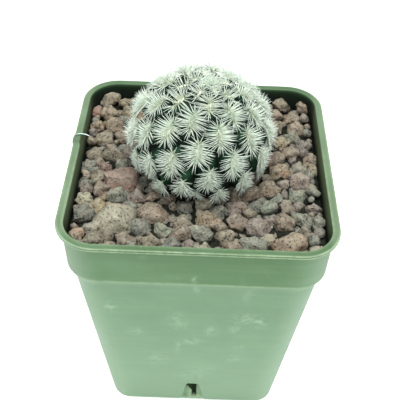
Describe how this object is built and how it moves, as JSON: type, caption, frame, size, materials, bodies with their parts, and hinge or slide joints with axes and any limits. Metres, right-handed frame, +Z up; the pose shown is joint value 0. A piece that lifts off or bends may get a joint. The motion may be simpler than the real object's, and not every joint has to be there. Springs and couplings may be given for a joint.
{
  "type": "potted round cactus",
  "caption": "Round white-spined cactus rooted in a gravel-filled square plastic nursery pot with drain slots.",
  "frame": {"origin": "middle of the pot's foot, on the surface it stands on", "axes": "+Z up along the pot's axis, -Y towards the side seen from the front, +X to the right"},
  "size_m": [0.07, 0.07, 0.1031],
  "materials": {
    "pot_plastic": "matt moulded polypropylene, slightly translucent green",
    "gravel_stone": "rough porous crushed lava and pumice",
    "cactus_plant": "dark green skin under cream areoles and white spines"
  },
  "bodies": {
    "root": {"pot": "pot_plastic", "gravel": "gravel_stone", "cactus": "cactus_plant"}
  },
  "joints": []
}
